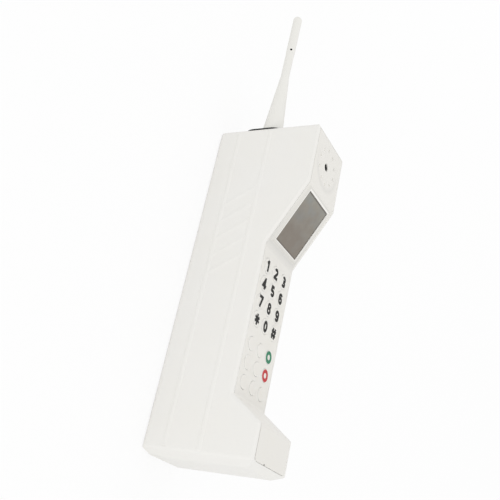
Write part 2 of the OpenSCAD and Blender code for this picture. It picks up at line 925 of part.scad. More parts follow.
// Rubber mat with a dome in the well of each key
module key_mat() {
    dome_h = key_z + key_proud - key_roof - key_travel - key_play - mat_high;
    color([0.75, 0.75, 0.72])
        placed()
            difference() {
                union() {
                    block([-pad_half_w, pad_start, mat_low], [pad_half_w, pad_end, mat_high]);
                    for (i = [0:len(KEYS) - 1])
                        translate([key_x(i), key_y(i), mat_low])
                            cylinder(d = dome_d, h = mat_t + dome_h);
                }
                at_pad_posts()
                    translate([0, 0, mat_low - past])
                        cylinder(d = pad_post_d + lay_gap, h = mat_t + 2 * past);
            }
}

module keypad_board() {
    color(board_colour)
        placed()
            difference() {
                block([-pad_half_w, pad_start, keypad_board_low], [pad_half_w, pad_end, mat_low]);
                at_pad_posts()
                    translate([0, 0, keypad_board_low - past])
                        cylinder(d = board_screw_d + screw_gap, h = board_t + 2 * past);
            }
}

// Flat cable with a connector on each board
module ribbon_link() {
    color([0.85, 0.85, 0.82])
        placed()
            translate([0, last_row + key_pitch_y, 0]) {
                block([-plug_w / 2, -plug_len / 2, board_high],
                    [plug_w / 2, plug_len / 2, board_high + plug_h]);
                block([-plug_w / 2, -plug_len / 2, keypad_board_low - plug_h],
                    [plug_w / 2, plug_len / 2, keypad_board_low]);
                block([-ribbon_w / 2, -ribbon_t / 2, board_high + plug_h / 2],
                    [ribbon_w / 2, ribbon_t / 2, keypad_board_low - plug_h / 2]);
            }
}

module main_board() {
    color(board_colour)
        placed()
            difference() {
                block([-board_half_w, board_start, board_low], [board_half_w, board_end, board_high]);
                at_board_posts()
                    translate([0, 0, board_low - past])
                        cylinder(d = board_screw_d + screw_gap, h = board_t + 2 * past);
            }
}

module shield_can() {
    can_half_w = post_x - post_d;
    can_start = (board_start + board_end) / 2;
    can_end = board_end - can_end_gap;
    color(metal_colour)
        placed()
            difference() {
                block([-can_half_w, can_start, board_high], [can_half_w, can_end, board_high + can_h]);
                block([can_wall - can_half_w, can_start + can_wall, board_high - past],
                    [can_half_w - can_wall, can_end - can_wall, board_high + can_h - can_wall]);
            }
}

module chassis_plate() {
    color(metal_colour)
        placed()
            difference() {
                union() {
                    block([lay_gap - inner_w, chassis_start, chassis_low],
                        [inner_w - lay_gap, chassis_end, chassis_high]);
                    at_board_posts()
                        translate([0, 0, chassis_low])
                            cylinder(d = post_d, h = board_low - chassis_low);
                }
                at_board_posts()
                    translate([0, 0, chassis_low - past])
                        cylinder(d = board_screw_d, h = board_low - chassis_low + 2 * past);
            }
}

module contact_block() {
    block_start = battery_end + lay_gap + contact_t;
    color(black_rubber)
        placed()
            block([-battery_w / 3, block_start, battery_low + battery_t / 3],
                [battery_w / 3, block_start + contact_block_t, chassis_low]);
}

module battery_contacts() {
    strip_w = 4;
    color(brass_colour)
        placed()
            both_sides()
                translate([battery_w / 6 - strip_w / 2, battery_end + lay_gap, battery_low + battery_t / 3])
                    cube([strip_w, contact_t, battery_t / 2]);
}

// Case of the cells, with its long edges rounded
module battery_pack() {
    edge = 3;
    half = battery_w / 2;
    color([0.18, 0.19, 0.21])
        placed()
            translate([0, battery_end, 0])
                rotate([90, 0, 0])
                    linear_extrude(battery_len)
                        polygon(rounded([[-half, battery_low], [-half, battery_high], [half, battery_high],
                            [half, battery_low]], [edge, edge, edge, edge]));
}

// Sliding door with a tongue along each side, a foot on the end of the phone and thumb grooves
module battery_door() {
    grip_count = 6;
    grip_pitch = 4;
    grip_r = 1.4;
    grip_depth = 0.5;
    grip_start = door_len * 0.2;
    half = door_w / 2;
    color(shell_colour)
        placed()
            difference() {
                intersection() {
                    envelope();
                    union() {
                        block([-half, -past, door_relief], [half, door_len, tongue_high]);
                        block([-half - tongue_w, -past, tongue_low],
                            [half + tongue_w, door_len, tongue_high]);
                        block([-half, -past, door_relief], [half, door_end_wall, door_foot]);
                    }
                }
                for (i = [0:grip_count - 1])
                    translate([0, grip_start + i * grip_pitch, door_relief - grip_r + grip_depth])
                        rotate([0, 90, 0])
                            cylinder(r = grip_r, h = door_w * 0.6, center = true);
            }
}

// Long pad with round ends between the boot and the top of the body
module antenna_gasket() {
    half = gasket_w / 2;
    low = antenna_z + gasket_front - gasket_len + half;
    high = antenna_z + gasket_front - half;
    color(black_rubber)
        placed()
            difference() {
                union() {
                    for (z = [low, high])
                        translate([antenna_x, 0, z])
                            bar_along(gasket_w, body_len, antenna_seat);
                    block([antenna_x - half, body_len, low], [antenna_x + half, antenna_seat, high]);
                }
                on_antenna()
                    bar_along(bush_d, body_len - past, antenna_seat + past);
            }
}

module antenna_bush() {
    inside = body_len - wall;
    color(brass_colour)
        placed()
            on_antenna()
                difference() {
                    union() {
                        bar_along(bush_d, inside - bush_flange_t, antenna_seat);
                        bar_along(bush_flange_d, inside - bush_flange_t, inside);
                    }
                    bar_along(stud_d + 2 * stud_gap, inside - bush_flange_t - past, antenna_seat + past);
                }
}

// Ring on the bush and the stiff lead from it to the main board
module antenna_lead() {
    ring_high = body_len - wall - bush_flange_t;
    bend_y = board_end - lead_bend_gap;
    color(brass_colour)
        placed()
            union() {
                on_antenna()
                    difference() {
                        bar_along(bush_flange_d, ring_high - lug_t, ring_high);
                        bar_along(stud_d + 2 * lug_gap, ring_high - lug_t - past, ring_high + past);
                    }
                translate([lead_x, 0, lead_z])
                    bar_along(2 * lead_r, bend_y, ring_high - lug_t / 2);
                translate([lead_x, bend_y, board_high])
                    cylinder(r = lead_r, h = lead_z - board_high);
                translate([lead_x, bend_y, lead_z])
                    sphere(r = lead_r);
            }
}

// Threaded stud with a round head held in the boot
module antenna_stud() {
    color(metal_colour)
        placed()
            on_antenna() {
                bar_along(stud_d, body_len - stud_len, stud_head_low + stud_head_t);
                bar_along(stud_head_d, stud_head_low, stud_head_low + stud_head_t);
            }
}

// Conical boot, bored for the stud, its head and the rod
module antenna_boot() {
    color(shell_colour)
        placed()
            on_antenna()
                difference() {
                    translate([0, boot_start, 0])
                        rotate([-90, 0, 0])
                            cylinder(d1 = boot_base_d, d2 = boot_top_d, h = boot_len);
                    bar_along(stud_d, boot_start - past, boot_end);
                    bar_along(stud_head_d, stud_head_low, stud_head_low + stud_head_t);
                    bar_along(whip_d, stud_head_low + stud_head_t, boot_end + past);
                }
}

// Space of the pin, from the antenna's axis out to a given radius
module pin_bar(reach) {
    translate([0, tip_start + pin_rise, 0])
        rotate([0, pin_turn, 0])
            cylinder(d = pin_d, h = reach);
}

// Rod with a spigot that carries the tip
module antenna_whip() {
    color(shell_colour)
        placed()
            on_antenna()
                difference() {
                    union() {
                        bar_along(whip_d, stud_head_low + stud_head_t, tip_start);
                        bar_along(spigot_d, tip_start - past, tip_start + spigot_len);
                    }
                    pin_bar(tip_d);
                }
}

module antenna_tip() {
    dome_r = tip_d * 0.42;
    edge = 0.4;
    tip_r = tip_d / 2;
    bore_r = spigot_d / 2;
    color(shell_colour)
        placed()
            on_antenna()
                difference() {
                    translate([0, tip_start, 0])
                        rotate([-90, 0, 0])
                            rotate_extrude()
                                polygon(rounded([[0, spigot_len], [0, tip_len], [tip_r, tip_len], [tip_r, 0],
                                    [bore_r, 0], [bore_r, spigot_len]], [0, 0, dome_r, edge, 0, 0]));
                    pin_bar(tip_d);
                }
}

// Dark pin through the tip into the spigot
module antenna_pin() {
    color(black_rubber)
        placed()
            on_antenna()
                pin_bar(tip_d / 2 - pin_sink);
}

module case_screws() {
    color(metal_colour)
        placed()
            both_sides()
                for (tower = [[low_tower_y, rail_low], [high_tower_y, 0]])
                    translate([tower_x, tower[0], tower[1] + screw_sink]) {
                        cylinder(d = case_head_d, h = screw_head_h);
                        cylinder(d = case_screw_d, h = tower_high + screw_bite - tower[1] - screw_sink);
                    }
}

// Screws under the keypad board and on the main board
module board_screws() {
    head_d = board_screw_d * 1.9;
    head_h = 1.3;
    color(metal_colour)
        placed() {
            at_pad_posts()
                translate([0, 0, keypad_board_low - head_h]) {
                    cylinder(d = head_d, h = head_h);
                    cylinder(d = board_screw_d, h = head_h + board_t + pad_screw_bite - screw_gap);
                }
            at_board_posts()
                translate([0, 0, board_high]) {
                    cylinder(d = head_d, h = head_h);
                    translate([0, 0, chassis_high - board_high])
                        cylinder(d = board_screw_d, h = board_high - chassis_high + head_h);
                }
        }
}

main_housing();
front_cover();
display_bezel();
display_window();
display_gasket();
display_module();
earpiece_screen();
earpiece_gasket();
earpiece_driver();
mic_boot();
microphone();
key_mat();
keypad_board();
ribbon_link();
main_board();
shield_can();
chassis_plate();
contact_block();
battery_contacts();
battery_pack();
battery_door();
antenna_gasket();
antenna_bush();
antenna_lead();
antenna_stud();
antenna_boot();
antenna_whip();
antenna_tip();
antenna_pin();
case_screws();
board_screws();
for (i = [0:len(KEYS) - 1])
    key(i);
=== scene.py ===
"""Looks of a brick cell phone that lies on its back: finishes, printed keys, floor, light and camera."""
import json
import math

import bmesh
import bpy
from mathutils import Matrix, Vector


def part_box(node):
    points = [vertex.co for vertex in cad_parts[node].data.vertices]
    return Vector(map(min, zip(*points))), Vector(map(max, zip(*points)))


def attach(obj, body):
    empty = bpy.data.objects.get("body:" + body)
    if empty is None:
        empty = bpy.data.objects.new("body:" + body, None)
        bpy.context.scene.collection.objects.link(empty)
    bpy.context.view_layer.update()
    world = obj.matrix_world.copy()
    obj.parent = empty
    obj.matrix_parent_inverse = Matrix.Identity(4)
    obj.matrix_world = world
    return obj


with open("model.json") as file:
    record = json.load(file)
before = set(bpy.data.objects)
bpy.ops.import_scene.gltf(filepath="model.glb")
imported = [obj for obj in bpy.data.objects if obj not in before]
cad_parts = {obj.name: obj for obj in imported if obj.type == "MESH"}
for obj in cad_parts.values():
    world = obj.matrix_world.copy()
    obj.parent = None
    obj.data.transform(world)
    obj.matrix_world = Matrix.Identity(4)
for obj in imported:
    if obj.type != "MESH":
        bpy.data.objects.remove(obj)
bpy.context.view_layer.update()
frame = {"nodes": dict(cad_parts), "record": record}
nodes = frame["nodes"]
scene = bpy.context.scene

# One millimetre in the frame's metres
MM = 0.001

# Prints on the keys
DIGIT_HEIGHT = 8.0 * MM
DIGIT_WIDTH = 5.6 * MM
STROKE = 2.1 * MM
FINE_STROKE = 1.88 * MM
PRINT_THICKNESS = 0.04 * MM
RING_OUTER = 4.15 * MM
RING_INNER = 1.8 * MM

# Least cosine that stretches a mitre, and the distance below which two points are the same
MITRE_LIMIT = 0.45
SAME_POINT = 1e-6

# Seams and edges of the plastic
SEAM_REACH = 1.2 * MM
SEAM_WIDTH = 0.4 * MM
SEAM_BLUR = 0.2 * MM
SEAM_FADE = 8.0 * MM
EDGE_WEAR_AND_HIGHLIGHT = 0.5 * MM

# Painted shade in the earpiece dish and on its dimples, with the side across and along on which its spots
# are darkest
DISH_RADIUS = 16.9 * MM
DISH_BLUR = 3.0 * MM
DISH_SHARE = 0.55
DISH_FULL = -0.5 * DISH_RADIUS
DISH_CLEAR = 0.6 * DISH_RADIUS
DIMPLE_RADIUS = 12.8 * MM
DIMPLE_COUNT = 10
DIMPLE_TURN = math.radians(96.5)
SPOT_CORE = 0.5 * MM
SPOT_EDGE = 1.9 * MM
SPOT_SIDE = (0.87, 0.50)
SPOT_START = -1.0 * MM
SPOT_FULL = 11.0 * MM

# Display: painted shade round its frame, a painted highlight on the bezel's inner lip, dark rim, and how far
# the window's back reaches past its face
SHADE_REACH = 6.0 * MM
LIP_HIGHLIGHT_WIDTH = 0.9 * MM
LIP_HIGHLIGHT_SOLID = 0.7 * LIP_HIGHLIGHT_WIDTH
RIM_WIDTH = 1.1 * MM
RIM_SOLID = 0.3 * MM
WINDOW_LEAN = 0.7 * MM

# Share of the window's length above which a painted reflection makes it lighter
REFLECTION_FROM = 0.3

# Milky keys and the cover round them: share, reach of the light inside, and width of the fade
MILKY = 0.8
MILKY_REACH = 0.8 * MM
MILKY_FADE = 3.0 * MM

# Roughness of the mouldings
SHELL_ROUGH = 0.48
FRONT_ROUGH = 0.46
COVER_ROUGH = 0.52

# Floor, and the share of it that shows plain white while the rest takes shadow
FLOOR_SIZE = 8.0
FLOOR_DROP = 0.2 * MM
FLOOR_COLOUR = (0.9, 0.9, 0.9, 1)
FLOOR_ROUGH = 0.9
FLOOR_SHARE = 0.85

# Studio light
WORLD_LIGHT = 0.95
LAMP_SIZE = 1.2
KEY_LAMP_PLACE = (-1.17, -1.00, 0.42)
KEY_LAMP_WATTS = 4.8
FILL_LAMP_PLACE = (0.30, 1.25, 0.85)
FILL_LAMP_WATTS = 2.0

# Camera of the photograph, in the frame's metres, with its lens and sensor in millimetres
CAMERA_PLACE = Vector((-0.4283, -0.2407, 0.2871))
CAMERA_RIGHT = Vector((0.42505, 0.19997, 0.88281))
CAMERA_UP = Vector((-0.44742, 0.89423, 0.01286))
CAMERA_LENS = 56.5
CAMERA_SENSOR = 36.0
CAMERA_NEAR = 0.01
CAMERA_FAR = 50

# Colours as linear light
SHELL = (0.802, 0.793, 0.766)
FRONT = (0.780, 0.764, 0.726)
# Painted shade on the front cover: the earpiece dish's lower rim, its dimples and round the display's frame
FRONT_PAINTED_SHADE = (0.671, 0.659, 0.630)
BEZEL = (0.700, 0.687, 0.651)
# Painted highlight along the bezel's inner lip
BEZEL_LIP_HIGHLIGHT = (0.900, 0.885, 0.850)
KEY = (0.783, 0.766, 0.728)
ANTENNA_COVER = (0.782, 0.774, 0.741)
# Seams: dust and painted shade along the front cover's left seam; elsewhere a pale painted light that lifts
# the shade in seams and corners
SEAM_DUST_AND_SHADE = (0.58, 0.56, 0.51)
SEAM_PAINTED_LIGHT = (0.93, 0.92, 0.89)
INK = (0.016, 0.015, 0.014)
GREEN = (0.035, 0.200, 0.110)
RED = (0.480, 0.043, 0.047)
SMOKE_LOW = (0.192, 0.164, 0.133)
# Painted reflection: the lighter and cooler colours of the window's upper end
SMOKE_REFLECTED = (0.265, 0.248, 0.208)
SMOKE_REFLECTED_COOL = (0.232, 0.240, 0.226)
SMOKE_RIM = (0.115, 0.098, 0.080)
BLACK_RUBBER = (0.012, 0.012, 0.012)
GREY_RUBBER = (0.52, 0.52, 0.49)
SOLDER_MASK = (0.010, 0.085, 0.035)
COPPER_TRACE = (0.020, 0.150, 0.065)
WHITE_CABLE = (0.62, 0.62, 0.59)
BLACK_PLASTIC = (0.010, 0.010, 0.010)
BATTERY_WRAP = (0.030, 0.033, 0.040)
ALUMINIUM = (0.55, 0.56, 0.58)
TIN = (0.48, 0.48, 0.50)
BRASS = (0.60, 0.42, 0.13)
ZINC = (0.42, 0.42, 0.44)
BLACK_OXIDE = (0.020, 0.020, 0.022)
DARK_PANEL = (0.030, 0.032, 0.030)

# Stretch that most values of a noise texture lie in
NOISE_RANGE = (0.3, 0.7)

# Stretch of a metal's grain: streaks along the body, or alike all ways
ALONG_Y = (1.0, 0.05, 1.0)
ALL_WAYS = (1.0, 1.0, 1.0)


class Shader:
    """A material under construction: its node tree, its main shader and object coordinates."""

    def __init__(self, name):
        self.material = bpy.data.materials.new(name)
        self.material.use_nodes = True
        self.tree = self.material.node_tree
        self.main = self.tree.nodes["Principled BSDF"]
        self.place = self.node("ShaderNodeTexCoord").outputs["Object"]

    def node(self, kind, **values):
        made = self.tree.nodes.new(kind)
        for name, value in values.items():
            setattr(made, name, value)
        return made

    def link(self, source, target):
        self.tree.links.new(source, target)

    def axis(self, letter):
        """One of the object's own coordinates: X, Y or Z."""
        parts = self.node("ShaderNodeSeparateXYZ")
        self.link(self.place, parts.inputs["Vector"])
        return parts.outputs[letter]

    def noise(self, scale, detail=3.0, stretch=None):
        """A cloudy texture, drawn out along the axes whose stretch is small."""
        texture = self.node("ShaderNodeTexNoise")
        texture.inputs["Scale"].default_value = scale
        texture.inputs["Detail"].default_value = detail
        source = self.place
        if stretch:
            mapping = self.node("ShaderNodeMapping")
            mapping.inputs["Scale"].default_value = stretch
            self.link(source, mapping.inputs["Vector"])
            source = mapping.outputs["Vector"]
        self.link(source, texture.inputs["Vector"])
        return texture.outputs["Fac"]

    def spread(self, source, first, last, over=NOISE_RANGE):
        """Runs from first to last while the source runs over a stretch, and stays level beyond it."""
        spread = self.node("ShaderNodeMapRange")
        spread.inputs["From Min"].default_value = over[0]
        spread.inputs["From Max"].default_value = over[1]
        spread.inputs["To Min"].default_value = first
        spread.inputs["To Max"].default_value = last
        self.link(source, spread.inputs["Value"])
        return spread.outputs["Result"]

    def mix(self, factor, first, second):
        """Mixes two colours, each a socket or three numbers."""
        mix = self.node("ShaderNodeMix", data_type="RGBA")
        self.link(factor, mix.inputs["Factor"])
        for value, socket in ((first, mix.inputs["A"]), (second, mix.inputs["B"])):
            if isinstance(value, tuple):
                socket.default_value = (*value, 1.0)
            else:
                self.link(value, socket)
        return mix.outputs["Result"]

    def calc(self, operation, first, second=None):
        """One arithmetic step on sockets or numbers."""
        step = self.node("ShaderNodeMath", operation=operation)
        for value, socket in zip((first, second), step.inputs):
            if isinstance(value, (int, float)):
                socket.default_value = value
            elif value is not None:
                self.link(value, socket)
        return step.outputs["Value"]

    def colour(self, source):
        self.link(source, self.main.inputs["Base Color"])

    def roughness(self, source):
        self.link(source, self.main.inputs["Roughness"])

    def bump(self, source, depth, strength):
        bump = self.node("ShaderNodeBump")
        bump.inputs["Strength"].default_value = strength
        bump.inputs["Distance"].default_value = depth
        self.link(source, bump.inputs["Height"])
        self.link(bump.outputs["Normal"], self.main.inputs["Normal"])

    def corners(self, reach):
        """Near 0 in seams and corners, 1 on open faces."""
        shade = self.node("ShaderNodeAmbientOcclusion", samples=8)
        shade.inputs["Distance"].default_value = reach
        return shade.outputs["AO"]

    def edges(self, radius):
        """Near 1 along outward edges, 0 on flat faces."""
        rounded = self.node("ShaderNodeBevel", samples=6)
        rounded.inputs["Radius"].default_value = radius
        flat = self.node("ShaderNodeNewGeometry").outputs["Normal"]
        dot = self.node("ShaderNodeVectorMath", operation="DOT_PRODUCT")
        self.link(rounded.outputs["Normal"], dot.inputs[0])
        self.link(flat, dot.inputs[1])
        return self.spread(dot.outputs["Value"], 1.0, 0.0, over=(0.80, 0.99))


def scaled(colour, factor, lift=0.0):
    """A colour made lighter or darker, at most white."""
    return tuple(min(1.0, channel * factor + lift) for channel in colour)


def away_from(shader, source, value):
    """How far a socket's value lies from a number, either way."""
    return shader.calc("ABSOLUTE", shader.calc("SUBTRACT", source, value))


def seam_colour(shader):
    """Colour for seams and corners: dust and painted shade in patches along the front cover's left seam on
    the chin and the head, and pale painted light everywhere else.
    """
    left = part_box("front_cover")[0].x
    keys_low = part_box("key_f9")[0].y
    slope_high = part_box("display_bezel")[1].y
    seam_end = left + SEAM_WIDTH
    beside = shader.spread(shader.axis("X"), 1.0, 0.0, over=(seam_end, seam_end + SEAM_BLUR))
    along = shader.axis("Y")
    on_chin = shader.spread(along, 1.0, 0.0, over=(keys_low - SEAM_FADE, keys_low))
    on_head = shader.spread(along, 0.0, 1.0, over=(slope_high, slope_high + SEAM_FADE))
    dust_and_shade_stretch = shader.calc("MAXIMUM", on_chin, on_head)
    patches = shader.spread(shader.noise(scale=40.0, detail=1.0), 0.0, 1.0, over=(0.42, 0.60))
    # Dust and painted shade only beside the left seam, on the chin and the head, in patches
    dusty = shader.calc("MULTIPLY", shader.calc("MULTIPLY", beside, dust_and_shade_stretch), patches)
    return shader.mix(dusty, SEAM_PAINTED_LIGHT, SEAM_DUST_AND_SHADE)


def round_ear(shader):
    """A place measured from the middle of the earpiece: across, along and straight."""
    low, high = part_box("earpiece_screen")
    across = shader.calc("SUBTRACT", shader.axis("X"), (low.x + high.x) / 2)
    along = shader.calc("SUBTRACT", shader.axis("Y"), (low.y + high.y) / 2)
    across_square = shader.calc("MULTIPLY", across, across)
    along_square = shader.calc("MULTIPLY", along, along)
    straight = shader.calc("SQRT", shader.calc("ADD", across_square, along_square))
    return across, along, straight


def dish_rim_painted_shade(shader):
    """Painted shade: a soft darker ring along the lower rim of the earpiece dish."""
    _, along, distance = round_ear(shader)
    rim = shader.spread(away_from(shader, distance, DISH_RADIUS), 1.0, 0.0, over=(0.0, DISH_BLUR))
    lower = shader.spread(along, DISH_SHARE, 0.0, over=(DISH_FULL, DISH_CLEAR))
    return shader.calc("MULTIPLY", rim, lower)


def dimple_painted_shade(shader):
    """Painted shade: soft darker spots on the dimples of the earpiece, most of them at its upper right."""
    across, along, distance = round_ear(shader)
    turn = shader.calc("SUBTRACT", shader.calc("ARCTAN2", along, across), DIMPLE_TURN)
    waves = shader.calc("COSINE", shader.calc("MULTIPLY", turn, DIMPLE_COUNT))
    spots = shader.spread(waves, 0.0, 1.0, over=(0.2, 0.9))
    band = shader.spread(away_from(shader, distance, DIMPLE_RADIUS), 1.0, 0.0, over=(SPOT_CORE, SPOT_EDGE))
    rightward = shader.calc("MULTIPLY", across, SPOT_SIDE[0])
    upward = shader.calc("MULTIPLY", along, SPOT_SIDE[1])
    share = shader.spread(shader.calc("ADD", rightward, upward), 0.0, 1.0, over=(SPOT_START, SPOT_FULL))
    return shader.calc("MULTIPLY", shader.calc("MULTIPLY", spots, band), share)


def outside(shader, node, lean=0.0):
    """How far a place lies outside a node's face, whose back reaches further up the body by lean."""
    low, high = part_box(node)
    face_high = high.y - lean
    from_middle_x = away_from(shader, shader.axis("X"), (low.x + high.x) / 2)
    from_middle_y = away_from(shader, shader.axis("Y"), (low.y + face_high) / 2)
    beside = shader.calc("SUBTRACT", from_middle_x, (high.x - low.x) / 2)
    beyond = shader.calc("SUBTRACT", from_middle_y, (face_high - low.y) / 2)
    return shader.calc("MAXIMUM", beside, beyond)


def frame_painted_shade(shader):
    """Painted shade that fades away from the foot of the display's frame, most of it below the frame."""
    low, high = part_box("display_bezel")
    near = shader.spread(outside(shader, "display_bezel"), 1.0, 0.0, over=(0.0, SHADE_REACH))
    lower = shader.spread(shader.axis("Y"), 1.0, 0.0, over=(low.y, high.y))
    return shader.calc("MULTIPLY", near, lower)


def window_lip_highlight(shader):
    """Painted highlight along the bezel's inner lip."""
    past_window = outside(shader, "display_window", WINDOW_LEAN)
    return shader.spread(past_window, 1.0, 0.0, over=(LIP_HIGHLIGHT_SOLID, LIP_HIGHLIGHT_WIDTH))


def round_keys(shader):
    """How milky the cover is: as the keys are where it lies round them, and not at all further off."""
    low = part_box("key_f9")[0].y
    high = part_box("key_1")[1].y
    reach = (high - low) / 2
    from_middle = away_from(shader, shader.axis("Y"), (low + high) / 2)
    return shader.spread(from_middle, MILKY, 0.0, over=(reach, reach + MILKY_FADE))


def moulded_plastic(name, colour, roughness, milky=0.0, milky_where=None, marks=()):
    """Off-white moulding: cloudy ageing, fine grain, edges lighter from wear and a painted highlight, marks,
    and painted light in seams and corners, with dust and painted shade along the front cover's left seam.

    Its milkiness is one number all over, or goes by place.
    """
    shader = Shader(name)
    yellowed = (colour[0], colour[1] * 0.996, colour[2] * 0.984)
    cloud = shader.spread(shader.noise(scale=28.0, detail=4.0), 0.0, 1.0)
    base = shader.mix(cloud, colour, yellowed)
    speck = shader.spread(shader.noise(scale=900.0, detail=2.0), 0.0, 0.35, over=(0.62, 0.80))
    base = shader.mix(speck, base, scaled(colour, 0.93))
    # Marks laid on by place; where used here they are painted shade and a painted highlight
    for place, mark_colour in marks:
        base = shader.mix(place(shader), base, mark_colour)
    # Outward edges lighter: wear and a painted highlight
    wear_and_highlight = shader.spread(shader.edges(EDGE_WEAR_AND_HIGHLIGHT), 0.0, 0.35, over=(0.0, 1.0))
    base = shader.mix(wear_and_highlight, base, scaled(colour, 1.04))
    # Painted light in seams and corners, with dust and painted shade along the front cover's left seam
    seams = shader.spread(shader.corners(SEAM_REACH), 1.0, 0.0, over=(0.35, 0.95))
    shader.colour(shader.mix(seams, base, seam_colour(shader)))
    shader.roughness(shader.spread(shader.noise(scale=60.0, detail=5.0), roughness - 0.05, roughness + 0.07))
    shader.bump(shader.noise(scale=1800.0, detail=2.0), depth=0.02 * MM, strength=0.25)
    weight = shader.main.inputs["Subsurface Weight"]
    if milky_where:
        shader.link(milky_where(shader), weight)
    else:
        weight.default_value = milky
    shader.main.inputs["Subsurface Scale"].default_value = MILKY_REACH
    shader.main.inputs["Subsurface Radius"].default_value = (1.0, 1.0, 1.0)
    return shader.material


def smoked_window(name):
    """Polished smoked plastic: a painted reflection makes it lighter and cooler at its upper end; a dark
    rim, faint wipe marks.
    """
    shader = Shader(name)
    low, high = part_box("display_window")
    # Painted reflection: the window grows lighter and cooler towards its upper end
    start = low.y * (1 - REFLECTION_FROM) + high.y * REFLECTION_FROM
    upward = shader.spread(shader.axis("Y"), 0.0, 1.0, over=(start, high.y))
    cloud = shader.spread(shader.noise(scale=90.0), -0.3, 0.3)
    cool = shader.spread(shader.noise(scale=110.0, detail=2.0), 0.0, 1.0, over=(0.35, 0.65))
    upper = shader.mix(cool, SMOKE_REFLECTED, SMOKE_REFLECTED_COOL)
    base = shader.mix(shader.calc("ADD", upward, cloud), SMOKE_LOW, upper)
    past_window = outside(shader, "display_window", WINDOW_LEAN)
    rim = shader.spread(past_window, 0.0, 1.0, over=(-RIM_WIDTH, -RIM_SOLID))
    shader.colour(shader.mix(rim, base, SMOKE_RIM))
    wipes = shader.noise(scale=160.0, detail=4.0, stretch=(1.0, 0.15, 0.15))
    shader.roughness(shader.spread(wipes, 0.14, 0.24))
    shader.bump(shader.noise(scale=90.0, detail=1.0), depth=0.01 * MM, strength=0.1)
    return shader.material


def rubber(name, colour, roughness=0.65):
    """Soft rubber with a fine matt grain and a dusty bloom."""
    shader = Shader(name)
    bloom = shader.spread(shader.noise(scale=120.0, detail=5.0), 0.0, 0.5)
    shader.colour(shader.mix(bloom, colour, scaled(colour, 1.25, lift=0.01)))
    shader.roughness(shader.spread(shader.noise(scale=400.0), roughness - 0.08, roughness + 0.10))
    shader.bump(shader.noise(scale=2500.0), depth=0.03 * MM, strength=0.4)
    return shader.material


def metal(name, colour, roughness, stretch):
    """Plated or brushed metal: a grain that may be drawn out to streaks, and dulled patches."""
    shader = Shader(name)
    grain = shader.noise(scale=600.0, detail=4.0, stretch=stretch)
    patch = shader.spread(shader.noise(scale=90.0, detail=4.0), 0.0, 0.5)
    shader.colour(shader.mix(patch, colour, scaled(colour, 0.78)))
    shader.roughness(shader.spread(grain, roughness - 0.08, roughness + 0.12))
    shader.bump(grain, depth=0.01 * MM, strength=0.2)
    shader.main.inputs["Metallic"].default_value = 1.0
    return shader.material


def circuit_board(name):
    """Green solder mask over a grid of copper tracks."""
    shader = Shader(name)
    tracks = shader.node("ShaderNodeTexBrick")
    tracks.inputs["Scale"].default_value = 140.0
    tracks.inputs["Mortar Size"].default_value = 0.06
    shader.link(shader.place, tracks.inputs["Vector"])
    cloud = shader.spread(shader.noise(scale=200.0), 0.0, 0.4)
    mask = shader.mix(cloud, SOLDER_MASK, scaled(SOLDER_MASK, 1.4))
    shader.colour(shader.mix(tracks.outputs["Fac"], mask, COPPER_TRACE))
    shader.roughness(shader.spread(shader.noise(scale=300.0), 0.28, 0.42))
    shader.bump(tracks.outputs["Fac"], depth=0.03 * MM, strength=0.5)
    return shader.material


def ink(name, colour):
    """Screen-printed ink, slightly uneven."""
    shader = Shader(name)
    uneven = shader.spread(shader.noise(scale=700.0, detail=4.0), 0.0, 0.5)
    shader.colour(shader.mix(uneven, colour, scaled(colour, 1.3, lift=0.004)))
    shader.roughness(shader.spread(shader.noise(scale=500.0), 0.40, 0.55))
    shader.bump(shader.noise(scale=2200.0), depth=0.008 * MM, strength=0.3)
    shader.main.inputs["Specular IOR Level"].default_value = 0.15
    return shader.material


# Painted shade on the front cover round the earpiece dish's lower rim, on its dimples and round the
# display's frame
front_painted_shades = ((dish_rim_painted_shade, FRONT_PAINTED_SHADE), (dimple_painted_shade, FRONT_PAINTED_SHADE), (frame_painted_shade, FRONT_PAINTED_SHADE))
finishes = {
    "shell": moulded_plastic("shell_plastic", SHELL, SHELL_ROUGH),
    "front": moulded_plastic("front_plastic", FRONT, FRONT_ROUGH, milky_where=round_keys, marks=front_painted_shades),
    "key": moulded_plastic("key_plastic", KEY, FRONT_ROUGH, milky=MILKY),
    "antenna": moulded_plastic("antenna_cover", ANTENNA_COVER, COVER_ROUGH),
    "window": smoked_window("smoked_window"),
    "display": rubber("display_panel", DARK_PANEL, roughness=0.30),
    "seal": rubber("black_rubber", BLACK_RUBBER),
    "mat": rubber("grey_rubber", GREY_RUBBER),
    "board": circuit_board("circuit_board"),
    "cable": rubber("ribbon_plastic", WHITE_CABLE, roughness=0.45),
    "connector": rubber("connector_plastic", BLACK_PLASTIC, roughness=0.45),
    "battery": rubber("battery_wrap", BATTERY_WRAP, roughness=0.40),
    "chassis": metal("chassis_aluminium", ALUMINIUM, roughness=0.32, stretch=ALONG_Y),
    "plated_metal": metal("tin_plate", TIN, roughness=0.28, stretch=ALL_WAYS),
    "contact": metal("bright_brass", BRASS, roughness=0.22, stretch=ALL_WAYS),
    "pin": metal("black_oxide", BLACK_OXIDE, roughness=0.45, stretch=ALL_WAYS),
    "screw": metal("zinc_plate", ZINC, roughness=0.30, stretch=ALL_WAYS)}
for part in frame["record"]["subparts"]:
    mesh = nodes[part["node"]].data
    mesh.materials.clear()
    mesh.materials.append(finishes[part["material_slot"]])
# The bezel, with a painted highlight along its inner lip
bezel_finish = moulded_plastic("bezel_plastic", BEZEL, FRONT_ROUGH, marks=((window_lip_highlight, BEZEL_LIP_HIGHLIGHT),))
nodes["display_bezel"].data.materials[0] = bezel_finish

ink_black = ink("ink_black", INK)
ink_green = ink("ink_green", GREEN)
ink_red = ink("ink_red", RED)


